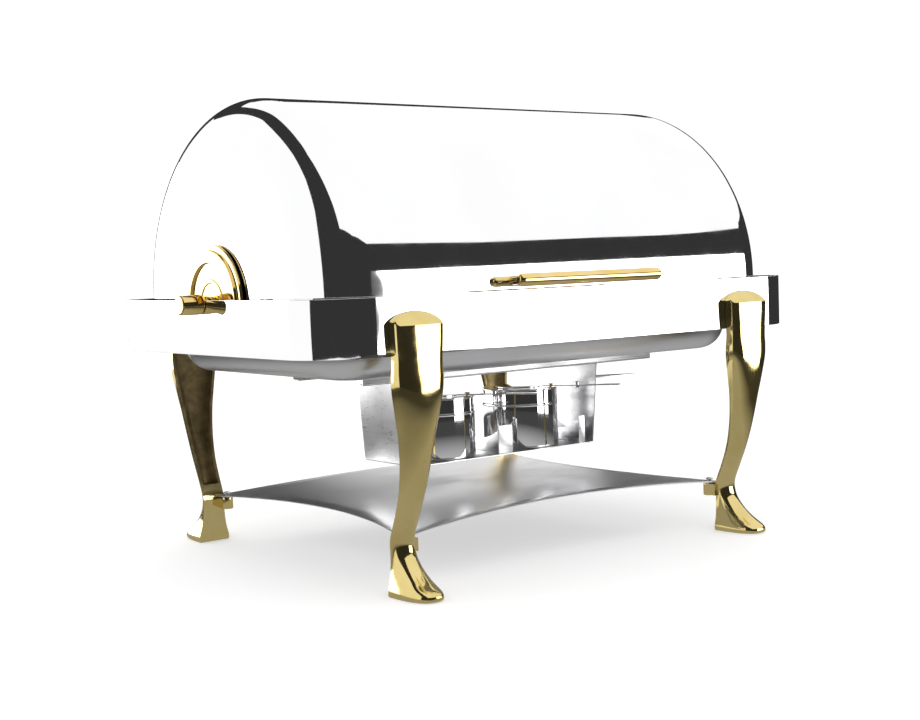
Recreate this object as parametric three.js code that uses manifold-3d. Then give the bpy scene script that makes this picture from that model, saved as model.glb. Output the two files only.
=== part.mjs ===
// Roll-top chafing dish: a rounded stainless cover that rolls back about two end spindles,
// a gallery band on four cast brass legs, a water pan and food pan, a lower shelf,
// and a hanging tray with two fuel burners.
// Millimetres. +X runs along the length, -Y is the serving side, +Z is up.
// The origin is on the floor under the middle of the dish.
import * as THREE from 'three';
import { mergeVertices } from 'three/addons/utils/BufferGeometryUtils.js';
import Module from 'manifold-3d';

const wasm = await Module();
wasm.setup();

// ---- driving dimensions ------------------------------------------------------------
const GAP = 0.3; // clearance between pieces that touch
const band = { halfX: 315, halfY: 216, corner: 59, bottom: 222, top: 275.5, sheet: 1.5 };
const pivotZ = 271.5; // height of the spindles' axis
const cover = { radius: 195, centreZ: 276.5, sheet: 1, straight: 246, edge: 56, bottom: 261 };
const dome = { apex: 299.4, drop: 7 }; // end plates bulge outwards by this drop
const hub = { back: 300.2, face: 303.4, ring: 306.4, outer: 58, ringOuter: 52, ringInner: 40, boss: 1.2 };
const spindle = { shank: 4, knob: 10, knobEnd: 339, inner: 270 };
const bush = { inner: 4.3, outer: 6.5 };
const earRadius = 18; // round ear below the pivot on the end plates and hubs
const pan = { halfX: 268, halfY: 170, corner: 50, fillet: 28, bottom: 197, top: 283, sheet: 1.2 };
const foodPan = { halfX: 265, halfY: 162.5, depth: 65, wallInset: 13, sheet: 1 };
const carrier = { inner: 270, outer: 273, halfY: 62, bottom: 238 };
const legX = 217; // legs stand this far each side of the middle
const shelf = { cornerX: 216, cornerY: 183, midX: 182, midY: 163, level: 51.8, rise: 9, sheet: 1.2 };
const shelfScrew = { x: 206, y: 172.5 };
const tray = { left: -102, right: 150, bottom: 91, top: 186, halfBottom: 46, halfTop: 55.5, sheet: 1.2 };
const burner = { radius: 42.5, base: 92.6, rim: 157, beadZ: 141, xs: { left: -38, right: 82 } };
const regulator = { pivotReach: 36, tailReach: 115, tailAngle: -50, disc: 27, sheet: 1.2 };
const handle = { radius: 6.4, halfLength: 94, y: -216, z: 284.5, postX: 72 };
const STEPS = 44; // facets round a full turn of the cover

// ---- materials -----------------------------------------------------------------------
const finish = (color, roughness) => new THREE.MeshStandardMaterial({ color, roughness, metalness: 1 });
const polished = finish(0xe8e8ea, 0.06);
const satin = finish(0xc9c9cd, 0.32);
const brass = finish(0xc9a24a, 0.12);
const castBrass = finish(0x9a8448, 0.35);

// ---- geometry helpers -----------------------------------------------------------------
function solidOf(geometry) {
  const bare = geometry.clone();
  for (const extra of ['normal', 'uv']) bare.deleteAttribute(extra);
  const merged = mergeVertices(bare, 1e-4);
  return new wasm.Manifold(new wasm.Mesh({
    numProp: 3,
    vertProperties: new Float32Array(merged.attributes.position.array),
    triVerts: new Uint32Array(merged.index.array),
  }));
}

function geometryOf(solid) {
  const mesh = solid.getMesh();
  const geometry = new THREE.BufferGeometry();
  geometry.setAttribute('position', new THREE.BufferAttribute(mesh.vertProperties, 3));
  geometry.setIndex(new THREE.BufferAttribute(mesh.triVerts, 1));
  geometry.computeVertexNormals();
  return geometry;
}

// a closed triangle mesh from points and faces, turned so that its faces point out
function closedMesh(points, faces) {
  let volume = 0;
  for (const [a, b, c] of faces) volume += points[a].dot(points[b].clone().cross(points[c]));
  const index = volume > 0 ? faces.flat() : faces.flatMap(([a, b, c]) => [a, c, b]);
  const geometry = new THREE.BufferGeometry().setFromPoints(points);
  geometry.setIndex(index);
  return solidOf(geometry);
}

// skin over rings of equal length; the ends are closed flat, or joined to each other
function loft(rings, joined = false) {
  const count = rings[0].length;
  const points = rings.flat();
  const faces = [];
  const last = joined ? rings.length : rings.length - 1;
  for (let r = 0; r < last; r++) {
    const next = (r + 1) % rings.length;
    for (let i = 0; i < count; i++) {
      const j = (i + 1) % count;
      const [a, b] = [r * count + i, r * count + j];
      const [c, d] = [next * count + i, next * count + j];
      faces.push([a, b, d], [a, d, c]);
    }
  }
  if (!joined) {
    const end = (rings.length - 1) * count;
    for (let i = 1; i < count - 1; i++) {
      faces.push([0, i + 1, i], [end, end + i, end + i + 1]);
    }
  }
  return closedMesh(points, faces);
}

// thin sheet over a unit square: place(u, v) gives its top point for u and v from -1 to 1
function sheetPatch(stepsU, stepsV, place, thickness) {
  const points = [];
  const at = (i, j, under) => (i * (stepsV + 1) + j) * 2 + under;
  for (let i = 0; i <= stepsU; i++) {
    for (let j = 0; j <= stepsV; j++) {
      const top = place((2 * i) / stepsU - 1, (2 * j) / stepsV - 1);
      points.push(top, top.clone().setZ(top.z - thickness));
    }
  }
  const faces = [];
  const quad = (a, b, c, d) => faces.push([a, b, c], [a, c, d]);
  for (let i = 0; i < stepsU; i++) {
    for (let j = 0; j < stepsV; j++) {
      quad(at(i, j, 0), at(i + 1, j, 0), at(i + 1, j + 1, 0), at(i, j + 1, 0));
      quad(at(i, j, 1), at(i, j + 1, 1), at(i + 1, j + 1, 1), at(i + 1, j, 1));
    }
    quad(at(i, 0, 0), at(i, 0, 1), at(i + 1, 0, 1), at(i + 1, 0, 0));
    quad(at(i, stepsV, 0), at(i + 1, stepsV, 0), at(i + 1, stepsV, 1), at(i, stepsV, 1));
  }
  for (let j = 0; j < stepsV; j++) {
    quad(at(0, j, 0), at(0, j + 1, 0), at(0, j + 1, 1), at(0, j, 1));
    quad(at(stepsU, j, 0), at(stepsU, j, 1), at(stepsU, j + 1, 1), at(stepsU, j + 1, 0));
  }
  return closedMesh(points, faces);
}

function box(x0, x1, y0, y1, z0, z1) {
  const geometry = new THREE.BoxGeometry(x1 - x0, y1 - y0, z1 - z0);
  geometry.translate((x0 + x1) / 2, (y0 + y1) / 2, (z0 + z1) / 2);
  return solidOf(geometry);
}

// turned piece from [radius, along] pairs; the profile starts and ends on the axis or closes
function turned(profile, steps, axis, x = 0, y = 0, z = 0) {
  const points = profile.map(([radius, along]) => new THREE.Vector2(radius, along));
  const closes = profile[0][0] > 0;
  if (closes) points.push(points[0].clone());
  const geometry = new THREE.LatheGeometry(points, steps);
  if (axis === 'x') geometry.rotateZ(-Math.PI / 2);
  if (axis === 'z') geometry.rotateX(Math.PI / 2);
  geometry.translate(x, y, z);
  geometry.deleteAttribute('normal');
  geometry.deleteAttribute('uv');
  const merged = mergeVertices(geometry, 1e-4);
  const index = merged.index.array;
  const corners = [];
  for (let i = 0; i < merged.attributes.position.count; i++) {
    corners.push(new THREE.Vector3().fromBufferAttribute(merged.attributes.position, i));
  }
  const faces = [];
  for (let i = 0; i < index.length; i += 3) {
    const [a, b, c] = [index[i], index[i + 1], index[i + 2]];
    if (a !== b && b !== c && a !== c) faces.push([a, b, c]);
  }
  return closedMesh(corners, faces);
}

const rod = (radius, from, to, steps, axis, x = 0, y = 0, z = 0) =>
  turned([[0, from], [radius, from], [radius, to], [0, to]], steps, axis, x, y, z);

const sleeve = (inner, outer, from, to, steps, axis, x = 0, y = 0, z = 0) =>
  turned([[inner, from], [outer, from], [outer, to], [inner, to]], steps, axis, x, y, z);

function roundedRing(halfX, halfY, corner, z, perCorner = 7) {
  const ring = [];
  for (let quarter = 0; quarter < 4; quarter++) {
    const signX = quarter === 0 || quarter === 3 ? 1 : -1;
    const signY = quarter < 2 ? 1 : -1;
    for (let i = 0; i <= perCorner; i++) {
      const angle = (quarter + i / perCorner) * (Math.PI / 2);
      ring.push(new THREE.Vector3(
        signX * (halfX - corner) + corner * Math.cos(angle),
        signY * (halfY - corner) + corner * Math.sin(angle),
        z,
      ));
    }
  }
  return ring;
}

function flatPiece(outline, thickness, holes = []) {
  const shape = new THREE.Shape(outline.map(([x, y]) => new THREE.Vector2(x, y)));
  for (const [x, y, radius] of holes) {
    shape.holes.push(new THREE.Path().absarc(x, y, radius, 0, 2 * Math.PI, true));
  }
  return new THREE.ExtrudeGeometry(shape, { depth: thickness, bevelEnabled: false, curveSegments: 10 });
}

const mirrorX = (solid) => solid.mirror([1, 0, 0]);
const mirrorY = (solid) => solid.mirror([0, 1, 0]);

// ---- the model ---------------------------------------------------------------------------
const dish = new THREE.Group();

function add(name, solid, material) {
  const mesh = new THREE.Mesh(geometryOf(solid), material);
  mesh.name = name;
  dish.add(mesh);
}

const sides = [['left', mirrorX], ['right', (solid) => solid]];
const corners = [
  ['front_left', (solid) => mirrorX(solid)],
  ['front_right', (solid) => solid],
  ['rear_left', (solid) => mirrorX(mirrorY(solid))],
  ['rear_right', (solid) => mirrorY(solid)],
];
const legBolts = [{ x: legX - 14, z: 241 }, { x: legX + 14, z: 241 }];

// gallery band: an upright sheet frame with rounded corners, slotted for the spindles
function galleryBand() {
  const { halfX, halfY, corner, bottom, top, sheet } = band;
  const ring = (inset, z) => roundedRing(halfX - inset, halfY - inset, corner - inset, z, 6);
  let body = loft([ring(0, bottom), ring(0, top), ring(sheet, top), ring(sheet, bottom)], true);
  const slot = spindle.shank + GAP;
  for (const [, place] of sides) {
    const opening = rod(slot, halfX - 5, halfX + 5, 12, 'x', 0, 0, pivotZ)
      .add(box(halfX - 5, halfX + 5, -slot, slot, pivotZ, top + 5));
    body = body.subtract(place(opening));
  }
  for (const [, place] of corners) {
    for (const bolt of legBolts) {
      const hole = rod(2.5 + GAP, -halfY - 5, -halfY + 5, 8, 'y', bolt.x, 0, bolt.z);
      body = body.subtract(place(hole));
    }
  }
  return body;
}

// leg sections from the sole up: height, half width, rear and front distance from the
// middle of the dish, and how square the front is
const legSections = [
  [0, 17.5, 186, 233, 2.8],
  [3, 18.5, 186, 237, 2.8],
  [8, 17.8, 186, 234.5, 2.7],
  [16, 15.6, 185.5, 221, 2.4],
  [26, 13.8, 184.5, 208, 2.2],
  [38, 12.7, 183.5, 198.5, 2],
  [52, 12.5, 183.5, 196, 2],
  [70, 12.6, 191, 203.5, 2],
  [90, 13.2, 199.5, 212.5, 2],
  [110, 14.6, 205.5, 219.5, 2],
  [130, 16.5, 209.5, 224.5, 2.1],
  [150, 19, 212, 228, 2.3],
  [170, 22.4, 213.5, 231, 2.6],
  [190, 25.6, 214.5, 233, 3],
  [205, 26.2, 215.5, 232.5, 3.2],
  [217, 25.3, 216.3, 230.5, 3.4],
  [235, 26.2, 216.3, 231.5, 3.6],
  [250, 27.2, 216.3, 232, 3.8],
];
const legArch = { spring: 250, rise: 12, steps: 4 };
const channel = { from: 64, wall: 3.2 }; // the hollow up the back of a leg

function legRing(z, halfWidth, rear, front, squareness) {
  const count = 12;
  const ring = [];
  for (let i = 0; i <= count; i++) {
    const angle = (i / count) * Math.PI;
    const cos = Math.cos(angle);
    const x = Math.sign(cos) * halfWidth * Math.abs(cos) ** (2 / squareness);
    const y = rear + (front - rear) * Math.sin(angle) ** (2 / squareness);
    ring.push(new THREE.Vector3(legX + x, -y, z));
  }
  return ring;
}

function legBody() {
  const rings = legSections.map((section) => legRing(...section));
  const [, halfWidth, rear, front, squareness] = legSections.at(-1);
  for (let i = 1; i <= legArch.steps; i++) {
    const lift = i / legArch.steps;
    const narrowed = halfWidth * Math.max(0.12, Math.sqrt(1 - lift * lift));
    rings.push(legRing(legArch.spring + legArch.rise * lift, narrowed, rear, front, squareness));
  }
  return loft(rings);
}

function legChannel() {
  const rings = legSections
    .filter(([z], i) => z > channel.from && i % 2 === 1)
    .map(([z, halfWidth, rear, front, squareness]) =>
      legRing(z, halfWidth - channel.wall, rear - 3, front - channel.wall, squareness));
  const lowest = rings[0].map((point) => point.clone().setZ(channel.from));
  return loft([lowest, ...rings]);
}

function leg() {
  let body = legBody().subtract(legChannel());
  const rear = band.halfY + GAP;
  for (const bolt of legBolts) {
    const post = rod(5, -rear - 12, -rear, 8, 'y', bolt.x, 0, bolt.z);
    const hole = rod(2.5 + GAP, -rear - 9, -rear + 1, 8, 'y', bolt.x, 0, bolt.z);
    body = body.add(post.intersect(legBody())).subtract(hole);
  }
  const { x, y } = shelfScrew;
  const padTop = 50.4;
  const pad = rod(6.5, 37, padTop, 16, 'z', x, -y, 0).add(box(x - 6.5, x + 6.5, -185, -y, 37, padTop));
  return body.add(pad).subtract(rod(2 + GAP, 40, padTop + 1, 8, 'z', x, -y, 0));
}

function legScrew({ x, z }) {
  const inside = -band.halfY + band.sheet + GAP;
  return rod(4.6, inside, inside + 2.8, 12, 'y', x, 0, z)
    .add(rod(2.5, inside - 9.5, inside + 1, 8, 'y', x, 0, z));
}

// lower shelf: a sheet with four hollow edges, arched a little along its length
function shelfPoint(u, v) {
  const x = u * (shelf.midX + (shelf.cornerX - shelf.midX) * v * v);
  const y = v * (shelf.midY + (shelf.cornerY - shelf.midY) * u * u);
  const z = shelf.level + shelf.rise * (1 - (x / shelf.cornerX) ** 2);
  return new THREE.Vector3(x, y, z);
}

function lowerShelf() {
  let body = sheetPatch(12, 8, shelfPoint, shelf.sheet);
  for (const [, place] of corners) {
    body = body.subtract(place(rod(2 + GAP, 45, 60, 8, 'z', shelfScrew.x, -shelfScrew.y, 0)));
  }
  return body;
}

function shelfScrewSolid() {
  const { x, y } = shelfScrew;
  return turned([[0, 41], [2, 41], [2, 54], [4.2, 54], [3.2, 56], [0, 56.4]], 12, 'z', x, -y, 0);
}

// the cover: a barrel and two domed ends, rolled about the spindles
const domeAt = (reach) => dome.apex - dome.drop * (reach / (cover.radius - cover.edge)) ** 2;

function coverKeep(ear) {
  const above = box(-400, 400, -250, 250, cover.bottom, 600);
  return above.add(rod(ear, 200, 400, 28, 'x', 0, 0, pivotZ));
}

function coverBarrel() {
  const { radius, sheet, straight, centreZ, bottom } = cover;
  const end = straight - GAP / 2;
  const tube = sleeve(radius - sheet, radius, -end, end, STEPS, 'x', 0, 0, centreZ);
  let body = tube.intersect(box(-400, 400, -250, 250, bottom, 600));
  for (const side of [-1, 1]) {
    body = body.subtract(rod(2 + GAP, -cover.radius - 5, -cover.radius + 8, 8, 'y',
      side * handle.postX, 0, handle.z));
  }
  return body;
}

function domeProfile(inset) {
  const points = [];
  const edgeReach = cover.radius - cover.edge;
  for (let i = 0; i <= 3; i++) {
    const reach = (edgeReach * i) / 3;
    points.push([reach, domeAt(reach) - inset]);
  }
  const span = domeAt(edgeReach) - cover.straight - GAP / 2;
  for (let i = 1; i <= 6; i++) {
    const angle = (i / 6) * (Math.PI / 2);
    const reach = edgeReach + (cover.edge - inset) * Math.sin(angle);
    points.push([reach, cover.straight + GAP / 2 + (span - inset) * Math.cos(angle)]);
  }
  return points;
}

function coverEnd() {
  const profile = [...domeProfile(0), ...domeProfile(cover.sheet).reverse()];
  const shell = turned(profile, STEPS, 'x', 0, 0, cover.centreZ);
  return shell.intersect(coverKeep(earRadius))
    .subtract(rod(bush.outer + GAP, dome.apex - 20, dome.apex + 5, 16, 'x', 0, 0, pivotZ));
}

function pivotHub() {
  const { back, face, ring, outer, ringOuter, ringInner, boss } = hub;
  const bore = bush.outer + GAP;
  const profile = [
    [bore, back], [outer, back], [outer, face - 1], [outer - 1, face], [ringOuter, face],
    [ringOuter, ring], [ringInner, ring], [ringInner, face], [24, face], [24, face + boss],
    [20, face + boss], [20, face], [bore, face],
  ];
  return turned(profile, STEPS, 'x', 0, 0, pivotZ).intersect(coverKeep(earRadius - 1));
}

const hubBush = () => sleeve(bush.inner, bush.outer, dome.apex - 4, hub.face + 1.5, 20, 'x', 0, 0, pivotZ);

function pivotSpindle() {
  const { shank, knob, knobEnd, inner } = spindle;
  const root = band.halfX + GAP;
  return turned([
    [0, inner], [shank, inner], [shank, root], [knob - 0.8, root], [knob, root + 0.8],
    [knob, knobEnd - 1.2], [knob - 1.2, knobEnd], [0, knobEnd],
  ], 18, 'x', 0, 0, pivotZ);
}

const spindleSpacer = () => sleeve(bush.inner, 8, hub.ring + 0.6, band.halfX - band.sheet - GAP, 16,
  'x', 0, 0, pivotZ);

function spindleNut() {
  const [from, to] = [carrier.outer + GAP, carrier.outer + 6.5];
  return rod(7.5, from, to, 6, 'x', 0, 0, pivotZ)
    .subtract(rod(spindle.shank + GAP, from - 1, to + 1, 16, 'x', 0, 0, pivotZ));
}

// the end bracket that hangs on a spindle and holds the water pan's rim
function panCarrier() {
  const { inner, outer, halfY, bottom } = carrier;
  const top = pan.top - pan.sheet - GAP;
  const outline = [
    [-halfY + 14, bottom], [halfY - 14, bottom], [halfY, bottom + 14], [halfY, top],
    [-halfY, top], [-halfY, bottom + 14],
  ];
  const geometry = flatPiece(outline, outer - inner, [[0, pivotZ, spindle.shank + GAP]]);
  geometry.rotateX(Math.PI / 2);
  geometry.rotateZ(Math.PI / 2);
  geometry.translate(inner, 0, 0);
  return solidOf(geometry);
}

function handleGrip() {
  const { radius, halfLength, y, z } = handle;
  const profile = [[0, -halfLength]];
  for (let i = 1; i <= 4; i++) {
    const angle = (i / 4) * (Math.PI / 2);
    profile.push([radius * Math.sin(angle), -halfLength + 4 * (1 - Math.cos(angle))]);
  }
  const mirrored = profile.map(([reach, along]) => [reach, -along]).reverse();
  return turned([...profile, ...mirrored], 16, 'x', 0, y, z);
}

function handlePost(side) {
  const x = side * handle.postX;
  const coverSide = -Math.sqrt(cover.radius ** 2 - (handle.z - cover.centreZ) ** 2) - GAP;
  const gripSide = handle.y + handle.radius + GAP;
  return rod(5, gripSide, coverSide - 0.5, 16, 'y', x, 0, handle.z)
    .subtract(rod(2 + GAP, coverSide - 12, coverSide + 2, 8, 'y', x, 0, handle.z));
}

function handleScrew(side) {
  const inside = -cover.radius + cover.sheet + 1;
  return turned([[0, inside - 11], [2, inside - 11], [2, inside], [4, inside], [3, inside + 2], [0, inside + 2.3]],
    12, 'y', side * handle.postX, 0, handle.z);
}

// water pan: a deep tray with a flat rim that carries the food pan
function waterPan() {
  const { halfX, halfY, corner, fillet, bottom, top, sheet } = pan;
  const skin = (inset) => {
    const rings = [];
    for (let i = 0; i <= 4; i++) {
      const angle = (i / 4) * (Math.PI / 2);
      const pull = fillet * (1 - Math.sin(angle));
      const z = bottom + fillet * (1 - Math.cos(angle)) + inset * Math.cos(angle);
      rings.push(roundedRing(halfX - pull - inset * Math.sin(angle), halfY - pull - inset * Math.sin(angle),
        Math.max(corner - pull, 12), z, 4));
    }
    rings.push(roundedRing(halfX - inset, halfY - inset, corner - inset, top - sheet / 2, 4));
    return rings;
  };
  const body = loft([...skin(sheet), ...skin(0).reverse()]);
  const rimRing = (offset, z) => roundedRing(halfX + offset, halfY + offset, corner + offset, z, 4);
  const rim = loft([
    rimRing(6, top - sheet), rimRing(6, top), rimRing(-13.5, top), rimRing(-13.5, top - sheet),
  ], true);
  return body.add(rim);
}

function foodPanSolid() {
  const { halfX, halfY, depth, wallInset, sheet } = foodPan;
  const rimTop = pan.top + GAP + sheet;
  const floor = rimTop - depth;
  const skin = (inset) => {
    const rings = [];
    for (let i = 0; i <= 3; i++) {
      const angle = (i / 3) * (Math.PI / 2);
      const pull = wallInset + 4 + inset + 14 * (1 - Math.sin(angle));
      const z = floor + inset + 14 * (1 - Math.cos(angle));
      rings.push(roundedRing(halfX - pull, halfY - pull, 38 - 14 * (1 - Math.sin(angle)), z, 4));
    }
    return rings;
  };
  const rim = (inset, z) => roundedRing(halfX - inset, halfY - inset, inset ? 40 : 22, z, 4);
  return loft([
    ...skin(sheet), rim(wallInset + sheet, rimTop), rim(0, rimTop), rim(0, rimTop - sheet),
    rim(wallInset, rimTop - sheet), ...skin(0).reverse(),
  ]);
}

// tray rails under the water pan: angle strips whose lips carry the tray's top flanges
function trayRail() {
  const [x0, x1] = [-176, 224];
  const top = pan.bottom - GAP;
  const lip = tray.top - tray.sheet - GAP;
  return box(x0, x1, -68, -66.8, lip - 1.2, top)
    .add(box(x0, x1, -68, -56, lip - 1.2, lip))
    .add(box(x0, x1, -80, -66.8, top - 1.2, top));
}

function trayEnd(x, flangeSide) {
  const { bottom, top, halfBottom, halfTop, sheet } = tray;
  const outline = [[-halfBottom, bottom], [halfBottom, bottom], [halfTop, top], [-halfTop, top]];
  const geometry = flatPiece(outline, sheet);
  geometry.rotateX(Math.PI / 2);
  geometry.rotateZ(Math.PI / 2);
  geometry.translate(x, 0, 0);
  const reach = flangeSide * 15;
  const [from, to] = reach > 0 ? [x, x + reach] : [x + sheet + reach, x + sheet];
  return solidOf(geometry).add(box(from, to, -64, 64, top - sheet, top));
}

// pull tab: a pointed plate that stands out from the right end
function trayTab() {
  const outline = [[tray.right, -12], [tray.right, -50], [214, -56], [214, -52]];
  const geometry = flatPiece(outline, tray.sheet);
  geometry.translate(0, 0, 165);
  return solidOf(geometry);
}

function burnerTray() {
  const { left, right, bottom, halfBottom, sheet } = tray;
  return box(left, right + sheet, -halfBottom, halfBottom, bottom, bottom + sheet)
    .add(trayEnd(left, -1))
    .add(trayEnd(right, 1))
    .add(trayTab());
}

// upright divider that keeps the burners in place: a saddle-backed web with end flanges
function trayDivider(x, flange) {
  const base = tray.bottom + tray.sheet + GAP;
  const top = base + 31;
  const reach = tray.halfBottom - 1.5;
  const outline = [[-reach, base], [reach, base], [reach, top]];
  for (let i = 0; i <= 8; i++) {
    const along = 1 - i / 4;
    outline.push([along * (reach - 6), top - 3 - 14 * (1 - along * along)]);
  }
  outline.push([-reach, top]);
  const geometry = flatPiece(outline, tray.sheet);
  geometry.rotateX(Math.PI / 2);
  geometry.rotateZ(Math.PI / 2);
  geometry.translate(x, 0, 0);
  const plate = box(x - flange[0], x + flange[1], -reach - 1.2, -reach, base, top);
  return solidOf(geometry).add(plate).add(mirrorY(plate));
}

// a burner's fuel cup, its can, its top ring, the swivelling regulator and the rivet
function burnerCup(x) {
  const { radius, base, rim, beadZ } = burner;
  const wall = 0.9;
  return turned([
    [0, base], [radius - 2, base], [radius, base + 2], [radius, beadZ - 1.8], [radius + 1, beadZ - 0.7],
    [radius + 1, beadZ + 0.7], [radius, beadZ + 1.8], [radius, rim], [radius - wall, rim],
    [radius - wall, base + wall], [0, base + wall],
  ], 24, 'z', x);
}

function fuelCan(x) {
  const [radius, from, to] = [39.5, burner.base + 1.3, burner.base + 58];
  return turned([
    [0, from], [radius, from], [radius, to], [radius - 4, to], [radius - 4, to - 2], [22, to - 2],
    [22, to + 1], [20, to + 1], [20, to - 16], [0, to - 16],
  ], 20, 'z', x);
}

const tailDirection = (THREE.MathUtils.degToRad(regulator.tailAngle));
const along = (x, reach) => [x + reach * Math.cos(tailDirection), reach * Math.sin(tailDirection)];

function burnerTop(x) {
  const z = burner.rim + GAP;
  const plate = turned([
    [24, z], [burner.radius + 1.5, z], [burner.radius + 1.5, z + regulator.sheet], [24, z + regulator.sheet],
  ], 24, 'z', x);
  const [px, py] = along(x, regulator.pivotReach);
  return plate.subtract(rod(1.8 + GAP, z - 5, z + 5, 8, 'z', px, py));
}

function regulatorCover(x) {
  const { disc, sheet, tailReach, pivotReach } = regulator;
  const z = burner.rim + 2 * GAP + sheet + 0.2;
  const tail = new THREE.BoxGeometry(tailReach - 10, 11, sheet);
  tail.translate((tailReach + 10) / 2, 0, z + sheet / 2);
  tail.rotateZ(tailDirection);
  tail.translate(x, 0, 0);
  const [px, py] = along(x, pivotReach);
  const [bx, by] = along(x, tailReach - 49);
  const grip = turned([[0, z - 2.4], [2.6, z - 2.4], [2.6, z + 4], [1.4, z + 5], [0, z + 5]], 12, 'z', bx, by);
  return rod(disc, z, z + sheet, 24, 'z', x).add(solidOf(tail)).add(grip)
    .subtract(rod(1.8 + GAP, z - 5, z + 8, 8, 'z', px, py));
}

function regulatorRivet(x) {
  const low = burner.rim - 1.4;
  const high = burner.rim + 2 * regulator.sheet + 4 * GAP;
  const [px, py] = along(x, regulator.pivotReach);
  return turned([[0, low], [3.2, low], [3.2, low + 1.2], [1.8, low + 1.2], [1.8, high], [3.4, high],
    [2.6, high + 1.4], [0, high + 1.6]], 12, 'z', px, py);
}

// ---- assembly ------------------------------------------------------------------------------
add('gallery_band', galleryBand(), polished);
const oneLeg = leg();
for (const [corner, place] of corners) {
  add(`leg_${corner}`, place(oneLeg), brass);
  legBolts.forEach((bolt, i) => add(`leg_screw_${corner}_${i + 1}`, place(legScrew(bolt)), satin));
  add(`shelf_screw_${corner}`, place(shelfScrewSolid()), satin);
}
add('lower_shelf', lowerShelf(), satin);
for (const [side, place] of sides) {
  add(`pivot_spindle_${side}`, place(pivotSpindle()), brass);
  add(`spindle_spacer_${side}`, place(spindleSpacer()), brass);
  add(`spindle_nut_${side}`, place(spindleNut()), satin);
  add(`pan_carrier_${side}`, place(panCarrier()), satin);
  add(`cover_end_${side}`, place(coverEnd()), polished);
  add(`pivot_hub_${side}`, place(pivotHub()), brass);
  add(`hub_bush_${side}`, place(hubBush()), castBrass);
}
add('cover_barrel', coverBarrel(), polished);
add('handle_grip', handleGrip(), brass);
for (const [side, sign] of [['left', -1], ['right', 1]]) {
  add(`handle_post_${side}`, handlePost(sign), brass);
  add(`handle_screw_${side}`, handleScrew(sign), satin);
}
add('water_pan', waterPan(), satin);
add('food_pan', foodPanSolid(), satin);
add('tray_rail_front', trayRail(), satin);
add('tray_rail_rear', mirrorY(trayRail()), satin);
add('burner_tray', burnerTray(), satin);
add('tray_divider_middle', trayDivider(22, [10, 10]), satin);
add('tray_divider_left', trayDivider(tray.left + 10, [1, 8]), satin);
add('tray_divider_right', trayDivider(tray.right - 12, [8, 1]), satin);
for (const [side, x] of Object.entries(burner.xs)) {
  add(`burner_cup_${side}`, burnerCup(x), polished);
  add(`fuel_can_${side}`, fuelCan(x), satin);
  add(`burner_top_${side}`, burnerTop(x), polished);
  add(`regulator_cover_${side}`, regulatorCover(x), polished);
  add(`regulator_rivet_${side}`, regulatorRivet(x), brass);
}

export default dish;
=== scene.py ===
"""Looks of the roll-top chafing dish: smooth visual pieces, materials, studio and camera."""
import math

import bmesh
import bpy
import numpy as np
from mathutils import Matrix, Vector


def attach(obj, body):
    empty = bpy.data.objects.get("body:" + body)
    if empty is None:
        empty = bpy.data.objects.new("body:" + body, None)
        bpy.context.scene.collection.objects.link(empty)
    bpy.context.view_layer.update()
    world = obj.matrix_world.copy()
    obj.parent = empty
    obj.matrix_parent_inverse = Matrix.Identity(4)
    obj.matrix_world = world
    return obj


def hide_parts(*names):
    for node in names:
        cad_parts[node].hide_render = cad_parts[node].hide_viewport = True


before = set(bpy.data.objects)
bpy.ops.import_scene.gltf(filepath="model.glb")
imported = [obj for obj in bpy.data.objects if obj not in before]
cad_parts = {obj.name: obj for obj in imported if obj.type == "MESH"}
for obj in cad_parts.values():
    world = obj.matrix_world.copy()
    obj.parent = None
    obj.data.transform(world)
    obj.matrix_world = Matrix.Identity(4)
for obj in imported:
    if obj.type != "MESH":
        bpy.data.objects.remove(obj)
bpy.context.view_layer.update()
scene = bpy.context.scene

MM = 0.001  # shapes below are written in millimetres, the unit of the CAD model
FLOOR_SIZE = 9.0
AXES = {
    "x": lambda radial, along, angle: (along, radial * math.cos(angle), radial * math.sin(angle)),
    "y": lambda radial, along, angle: (radial * math.sin(angle), along, radial * math.cos(angle)),
    "z": lambda radial, along, angle: (radial * math.cos(angle), radial * math.sin(angle), along),
}
SIDES = {"left": -1, "right": 1}
CORNERS = {
    "front_right": (1, 1),
    "front_left": (-1, 1),
    "rear_right": (1, -1),
    "rear_left": (-1, -1),
}

# ---- dimensions ------------------------------------------------------------------------------
band = dict(half_x=315, half_y=216, corner=59, bottom=222, top=275.5, sheet=1.5)
PIVOT_Z = 271.5
SPINDLE_BORE = 4.3  # radius of the holes that the spindles pass through
HUB_BORE = 6.8
BOLT_REACH = 14  # each leg's two screws, left and right of its middle
BOLT_Z = 241
cover = dict(radius=195, centre_z=276.5, straight=246, edge=56, apex=299.4, drop=7, sheet=1)
hub = dict(back=300.2, face=303.4, ring=306.4, outer=58, ring_outer=52, ring_inner=40, boss=1.2)
COVER_BOTTOM = 261
EAR = 18
LEG_X = 217
PIVOT = (0, 0, PIVOT_Z)
handle = dict(radius=6.4, half_length=94, y=-216, z=284.5, post_x=72)
CARRIER_X = 270
pan = dict(half_x=268, half_y=170, corner=50, fillet=28, bottom=197, top=283, sheet=1.2)
food = dict(half_x=265, half_y=162.5, depth=65, inset=13, sheet=1)
shelf = dict(corner_x=216, corner_y=183, mid_x=182, mid_y=163, level=51.8, rise=9, sheet=1.2)
SHELF_SCREW = (206, 172.5)
tray = dict(left=-102, right=150, bottom=91, top=186, half_bottom=46, half_top=55.5, sheet=1.2)
BURNERS = {"left": -38, "right": 82}
CUP = dict(radius=42.5, base=92.6, rim=157, bead=141)
REGULATOR_ANGLE = math.radians(-50)
SHEET = 1.2


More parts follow.
